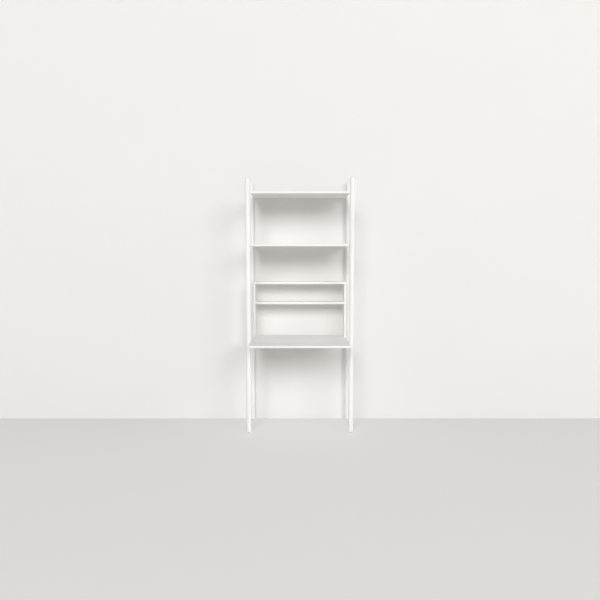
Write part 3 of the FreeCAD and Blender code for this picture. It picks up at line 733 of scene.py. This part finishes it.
def makeCamLock(radius, depth):
    chamfer, rim = camLock["chamfer"], radius - camLock["rimWidth"]
    face, cutTop = depth - camLock["dish"], depth * fittingMesh["cutPast"]
    lock = toObject("camLock", turned([
        (0, 0), (radius - chamfer, 0), (radius, chamfer), (radius, depth - chamfer / 2),
        (radius - chamfer / 2, depth), (rim, depth), (rim - camLock["dish"], face), (0, face),
    ], camLock["sides"]))
    slots = prism(crossOutline(camLock["slotLength"], camLock["slotWidth"]),
                  face - camLock["slotDepth"], cutTop, camLock["slotTaper"])
    tail, half = camLock["arrowAt"], camLock["arrowWidth"] / 2
    arrow = prism([(-half, tail), (half, tail), (0, tail + camLock["arrowLength"])],
                  face - camLock["arrowDepth"], cutTop)
    mouth = laidAlong(drum(camLock["mouthRadius"], -2 * radius, camLock["mouthPast"]), "Y")
    mouth.transform(Matrix.Translation((0, 0, camLock["mouthHeight"])))
    carve(lock, slots, arrow, mouth)
    soften(lock, camLock["softness"], 1)
    return lock


def makeTopCamPlace(low, high):
    side = math.copysign(1, low.x)
    outer = max(low.x, high.x, key=abs)
    return standing((outer, *middleOf(low, high)[1:]), (-side, 0, 0), (0, 0, 1))


def makeShelfCamPlace(low, high):
    side = math.copysign(1, low.x)
    return standing((*middleOf(low, high)[:2], high.z), (0, 0, -1), (side, 0, 0))


for stem, makePlace in (("hutch_top", makeTopCamPlace), ("hutch_shelf", makeShelfCamPlace)):
    node = f"{stem}_cam_locks"
    boxes = solidBoxes(node)
    low, high = boxes[0]
    lock = makeCamLock((high.y - low.y) / 2, min(high - low))
    setOut(f"{stem}_slotted_cams", lock, [makePlace(low, high) for low, high in boxes], node, "cam_zinc")


# Wall brackets: flat strip bent to an angle, with rounded corners and drilled legs

wallBracket = {"thickness": 0.002, "bendRadius": 0.003, "cornerRadius": 0.005, "holePitch": 0.030,
               "shelfHole": 0.00215, "shelfHoleBack": 0.026, "wallHole": 0.00275, "wallHoleUp": 0.024,
               "drillReach": 0.01, "softness": 0.00035, "bendSteps": 10, "cornerSteps": 8}


def makeWallBracket(width, depth, height):
    half, bend, corner = wallBracket["thickness"] / 2, wallBracket["bendRadius"], wallBracket["cornerRadius"]
    ease = [corner * (1 - math.cos(math.radians(90 * step / wallBracket["cornerSteps"])))
            for step in range(wallBracket["cornerSteps"] + 1)]
    bent = arc((-half - bend, half + bend), bend, -90, 0, wallBracket["bendSteps"])
    rows = [(-depth + along, half, along) for along in ease]
    rows += [(y, z, corner) for y, z in bent]
    rows += [(-half, height - along, along) for along in reversed(ease)]
    strip = bmesh.new()
    ends = []
    for y, z, along in rows:
        inset = corner - math.sqrt(corner ** 2 - (corner - along) ** 2)
        ends.append([strip.verts.new((side * (width / 2 - inset), y, z)) for side in (-1, 1)])
    for lower, upper in zip(ends, ends[1:]):
        strip.faces.new((*lower, *reversed(upper)))
    bracket = toObject("wallBracket", strip)
    plate = bracket.modifiers.new("plate", "SOLIDIFY")
    plate.thickness = wallBracket["thickness"]
    plate.offset = 0.0
    plate.use_even_offset = True
    settle(bracket)
    drill = wallBracket["drillReach"]
    cuts = []
    for across in (-wallBracket["holePitch"] / 2, wallBracket["holePitch"] / 2):
        down = drum(wallBracket["shelfHole"], -drill, drill)
        down.transform(Matrix.Translation((across, -wallBracket["shelfHoleBack"], 0)))
        through = laidAlong(drum(wallBracket["wallHole"], -drill, drill), "Y")
        through.transform(Matrix.Translation((across, 0, wallBracket["wallHoleUp"])))
        cuts += [down, through]
    carve(bracket, *cuts)
    soften(bracket, wallBracket["softness"])
    return bracket


for side in ("left", "right"):
    node = f"{side}_wall_bracket"
    low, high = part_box(node)
    size = high - low
    place = Matrix.Translation(((low.x + high.x) / 2, high.y, low.z))
    setOut(f"{side}_bent_bracket", makeWallBracket(*size), [place], node, "bracket_paint")


# Bracket screws: pan heads with a cross recess on a threaded shank

panScrew = {"headHeight": 0.0025, "rimHeight": 0.0005, "flatRadius": 0.0017, "panSteps": 8, "sides": 32,
            "shankRadius": 0.002, "coreShare": 0.68, "pitch": 0.0018, "ridgeSharpness": 4, "rowsToPitch": 8,
            "neckShare": 0.9, "neckLength": 0.002, "neckStart": 0.7, "pointLength": 0.005, "pointShare": 0.2,
            "recessLength": 0.0046, "recessWidth": 0.0011, "recessDepth": 0.0017, "recessPast": 0.0001,
            "recessTaper": 0.5}


def makeThreadReach(height):
    point = panScrew["pointShare"]
    taper = min(1.0, point + (1 - point) * height / panScrew["pointLength"])
    core = panScrew["shankRadius"] * panScrew["coreShare"]

    def reach(angle):
        turn = (height / panScrew["pitch"] - angle / (2 * math.pi)) % 1.0
        ridge = max(0.0, 1.0 - panScrew["ridgeSharpness"] * abs(turn - 0.5))
        return taper * (core + (panScrew["shankRadius"] - core) * ridge)
    return reach


def makePanScrew(radius, length):
    seat = length - panScrew["headHeight"]
    neck, threaded = panScrew["shankRadius"] * panScrew["neckShare"], seat - panScrew["neckLength"]
    rowCount = round(threaded / panScrew["pitch"] * panScrew["rowsToPitch"])
    heights = [threaded * (row + 1) / rowCount for row in range(rowCount)]
    profile = [(0, 0)] + [(makeThreadReach(height), height) for height in heights]
    profile += [(neck, seat - panScrew["neckLength"] * panScrew["neckStart"]), (neck, seat), (radius, seat)]
    rim, flat = seat + panScrew["rimHeight"], panScrew["flatRadius"]
    for x, z in arc((0, 0), 1.0, 0, 90, panScrew["panSteps"]):           # the pan's quarter oval
        profile.append((flat + (radius - flat) * x, rim + (length - rim) * z))
    screw = toObject("panScrew", turned(profile + [(0, length)], panScrew["sides"]))
    recess = prism(crossOutline(panScrew["recessLength"], panScrew["recessWidth"]),
                   length - panScrew["recessDepth"], length + panScrew["recessPast"], panScrew["recessTaper"])
    carve(screw, recess)
    return screw


boxes = solidBoxes("bracket_screws")
low, high = boxes[0]
screw = makePanScrew((high.x - low.x) / 2, high.z - low.z)
places = [standing((*middleOf(low, high)[:2], low.z), (0, 0, 1), (0, 1, 0)) for low, high in boxes]
setOut("bracket_pan_screws", screw, places, "bracket_screws", "zinc_steel")


# Stage: a pale floor and a pale backdrop just behind the desk

stage = {
    "floorColour": (0.89, 0.882, 0.862),
    "floorGlow": 0.35,        # share of the far colour that the eye sees in the floor
    "wallColour": (0.84, 0.832, 0.81),
    "wallGlow": 0.0,
    "farColour": (0.86, 0.855, 0.835),
    "mottle": 0.008,
    "mottleNoise": (1.2, 3.0, 0.5),
    "roughness": 0.85,
    "floorReach": 14.0,
    "wallHeight": 9.0,
    "wallGap": 0.016,
    "fadeStart": 4.0,
    "fadeEnd": 11.0,
}


def makeStageMaterial(name, colour, glowShare):
    material, tree, shader = startMaterial(name)
    place, mottle = placeOf(tree), stage["mottle"]
    grain = noiseOf(tree, place, *stage["mottleNoise"])
    mottled = mixColour(tree, grain, shade(colour, 1 - mottle), shade(colour, 1 + mottle))
    feed(tree, shader["Base Color"], mottled)
    shader["Roughness"].default_value = stage["roughness"]
    shader["Specular IOR Level"].default_value = 0.0
    lit = tree.nodes["Principled BSDF"].outputs[0]
    far = mapRange(tree, lengthOf(tree, place), stage["fadeStart"], stage["fadeEnd"],
                   glowShare, 1.0, smooth=True)
    glow = addNode(tree, "ShaderNodeEmission", None, {"Color": shade(stage["farColour"])}).outputs[0]
    shown = mathOf(tree, "MULTIPLY", far, seenRays(tree))
    front = addNode(tree, "ShaderNodeMixShader", None, {0: shown, 1: lit, 2: glow}).outputs[0]
    # From behind a sheet is clear, so the desk can be looked at from the back and from below
    behind = addNode(tree, "ShaderNodeNewGeometry").outputs["Backfacing"]
    clear = addNode(tree, "ShaderNodeBsdfTransparent").outputs[0]
    sheet = addNode(tree, "ShaderNodeMixShader", None, {0: behind, 1: front, 2: clear}).outputs[0]
    tree.links.new(sheet, tree.nodes["Material Output"].inputs["Surface"])
    return material


def makeSheet(name, outline, material):
    mesh = bpy.data.meshes.new(name)
    mesh.from_pydata(outline, [], [range(len(outline))])
    mesh.materials.append(material)
    sheet = bpy.data.objects.new(name, mesh)
    bpy.context.scene.collection.objects.link(sheet)
    return sheet


reach, wallHeight = stage["floorReach"], stage["wallHeight"]
wallY = cadBox[1].y + stage["wallGap"]
floorOutline = [(-reach, -reach, 0), (reach, -reach, 0), (reach, reach, 0), (-reach, reach, 0)]
wallOutline = [(-reach, wallY, 0), (reach, wallY, 0), (reach, wallY, wallHeight), (-reach, wallY, wallHeight)]
makeSheet("floor", floorOutline, makeStageMaterial("paleFloor", stage["floorColour"], stage["floorGlow"]))
backdrop = makeSheet("backdrop", wallOutline,
                     makeStageMaterial("paleBackdrop", stage["wallColour"], stage["wallGlow"]))
# The backdrop takes shadows and shows in the gloss, but lets the light from behind through
backdrop.visible_diffuse = False
backdrop.visible_shadow = False


# World: soft light, most of it low behind, and a plain pale ground for what is seen past the stage

surround = {"light": (1.0, 0.995, 0.98), "frontStrength": 0.07, "backStrength": 0.95, "overheadShare": 0.2,
            "behindSpan": (-0.2, 0.7), "lowSpan": (0.05, 0.75)}


def makeWorld():
    world = bpy.data.worlds.new("studio")
    bpy.context.scene.world = world
    world.use_nodes = True
    tree = world.node_tree
    soft = tree.nodes["Background"]
    soft.inputs["Color"].default_value = shade(surround["light"])
    generated = addNode(tree, "ShaderNodeTexCoord").outputs["Generated"]
    way = addNode(tree, "ShaderNodeSeparateXYZ", None, {0: generated}).outputs
    behind = mapRange(tree, way["Y"], *surround["behindSpan"], 0.0, 1.0, smooth=True)
    low = mapRange(tree, way["Z"], *surround["lowSpan"], 1.0, surround["overheadShare"], smooth=True)
    extra = surround["backStrength"] - surround["frontStrength"]
    glow = mathOf(tree, "MULTIPLY", mathOf(tree, "MULTIPLY", behind, low), extra)
    feed(tree, soft.inputs["Strength"], mathOf(tree, "ADD", glow, surround["frontStrength"]))
    pale = addNode(tree, "ShaderNodeBackground", None, {"Color": shade(stage["farColour"]), "Strength": 1.0})
    mix = addNode(tree, "ShaderNodeMixShader", None,
                  {0: seenRays(tree), 1: soft.outputs[0], 2: pale.outputs[0]})
    tree.links.new(mix.outputs[0], tree.nodes["World Output"].inputs["Surface"])


makeWorld()


# Lamps: a broad key in front, a lower one to its right and a weak one square to each side

middle = (cadBox[0] + cadBox[1]) / 2
lampDistance = 30.0
lamps = {
    "key": {"azimuth": -9.0, "height": 28.0, "size": 14.0, "power": 4620.0},
    "side": {"azimuth": 34.0, "height": 22.0, "size": 14.0, "power": 2750.0},
    "flank": {"azimuth": 84.0, "height": 17.0, "size": 15.0, "power": 2040.0},
    "fill": {"azimuth": -78.0, "height": 17.0, "size": 15.0, "power": 1150.0},
}


def addLamp(name, lamp):
    data = bpy.data.lights.new(name, "AREA")
    data.shape = "DISK"
    data.size = lamp["size"]
    data.energy = lamp["power"]
    around, up = math.radians(lamp["azimuth"]), math.radians(lamp["height"])
    away = Vector((math.sin(around) * math.cos(up), -math.cos(around) * math.cos(up), math.sin(up)))
    light = bpy.data.objects.new(name, data)
    light.location = middle + away * lampDistance
    light.rotation_mode = "QUATERNION"
    light.rotation_quaternion = away.to_track_quat("Z", "Y")
    bpy.context.scene.collection.objects.link(light)


for name, lamp in lamps.items():
    addLamp(name, lamp)


# Camera at the photograph's place, straight in front and a little above the middle

eye = {"place": (0.0016, -4.704, 1.471), "pitch": -4.75, "lens": 34.64, "sensor": 36.0}
cameraData = bpy.data.cameras.new("eye")
cameraData.lens = eye["lens"]
cameraData.sensor_width = eye["sensor"]
camera = bpy.data.objects.new("eye", cameraData)
camera.location = eye["place"]
camera.rotation_euler = (math.radians(90 + eye["pitch"]), 0.0, 0.0)
bpy.context.scene.collection.objects.link(camera)
bpy.context.scene.camera = camera
bpy.context.scene.view_settings.view_transform = "Standard"
print("stage, lamps and camera set")
